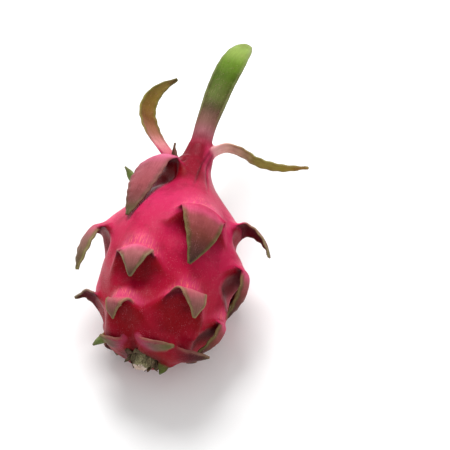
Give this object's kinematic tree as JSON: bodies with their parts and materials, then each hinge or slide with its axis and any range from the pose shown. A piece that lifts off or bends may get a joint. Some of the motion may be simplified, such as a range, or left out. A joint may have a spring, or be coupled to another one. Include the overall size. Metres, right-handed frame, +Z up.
{
  "type": "dragon fruit",
  "caption": "Whole dragon fruit lying on its side: plump body with hooked leafy scales, a narrow neck with long bracts and a short woody stub.",
  "frame": {"origin": "middle of the small flat spot on the underside that the fruit rests on", "axes": "+Z up from the flat spot, +Y level towards the neck and its long bracts, with the woody stub at -Y. The fruit's own axis rises 8 degrees towards +Y. +X to the right, seen from the stub end"},
  "size_m": [0.1394, 0.2629, 0.0997],
  "materials": {
    "skin": "satin, waxy fruit skin, pink, with green to brown scales",
    "stub_wood": "rough, dry and fibrous"
  },
  "bodies": {
    "root": {"fruit": "skin", "stem_stub": "stub_wood"}
  },
  "joints": []
}
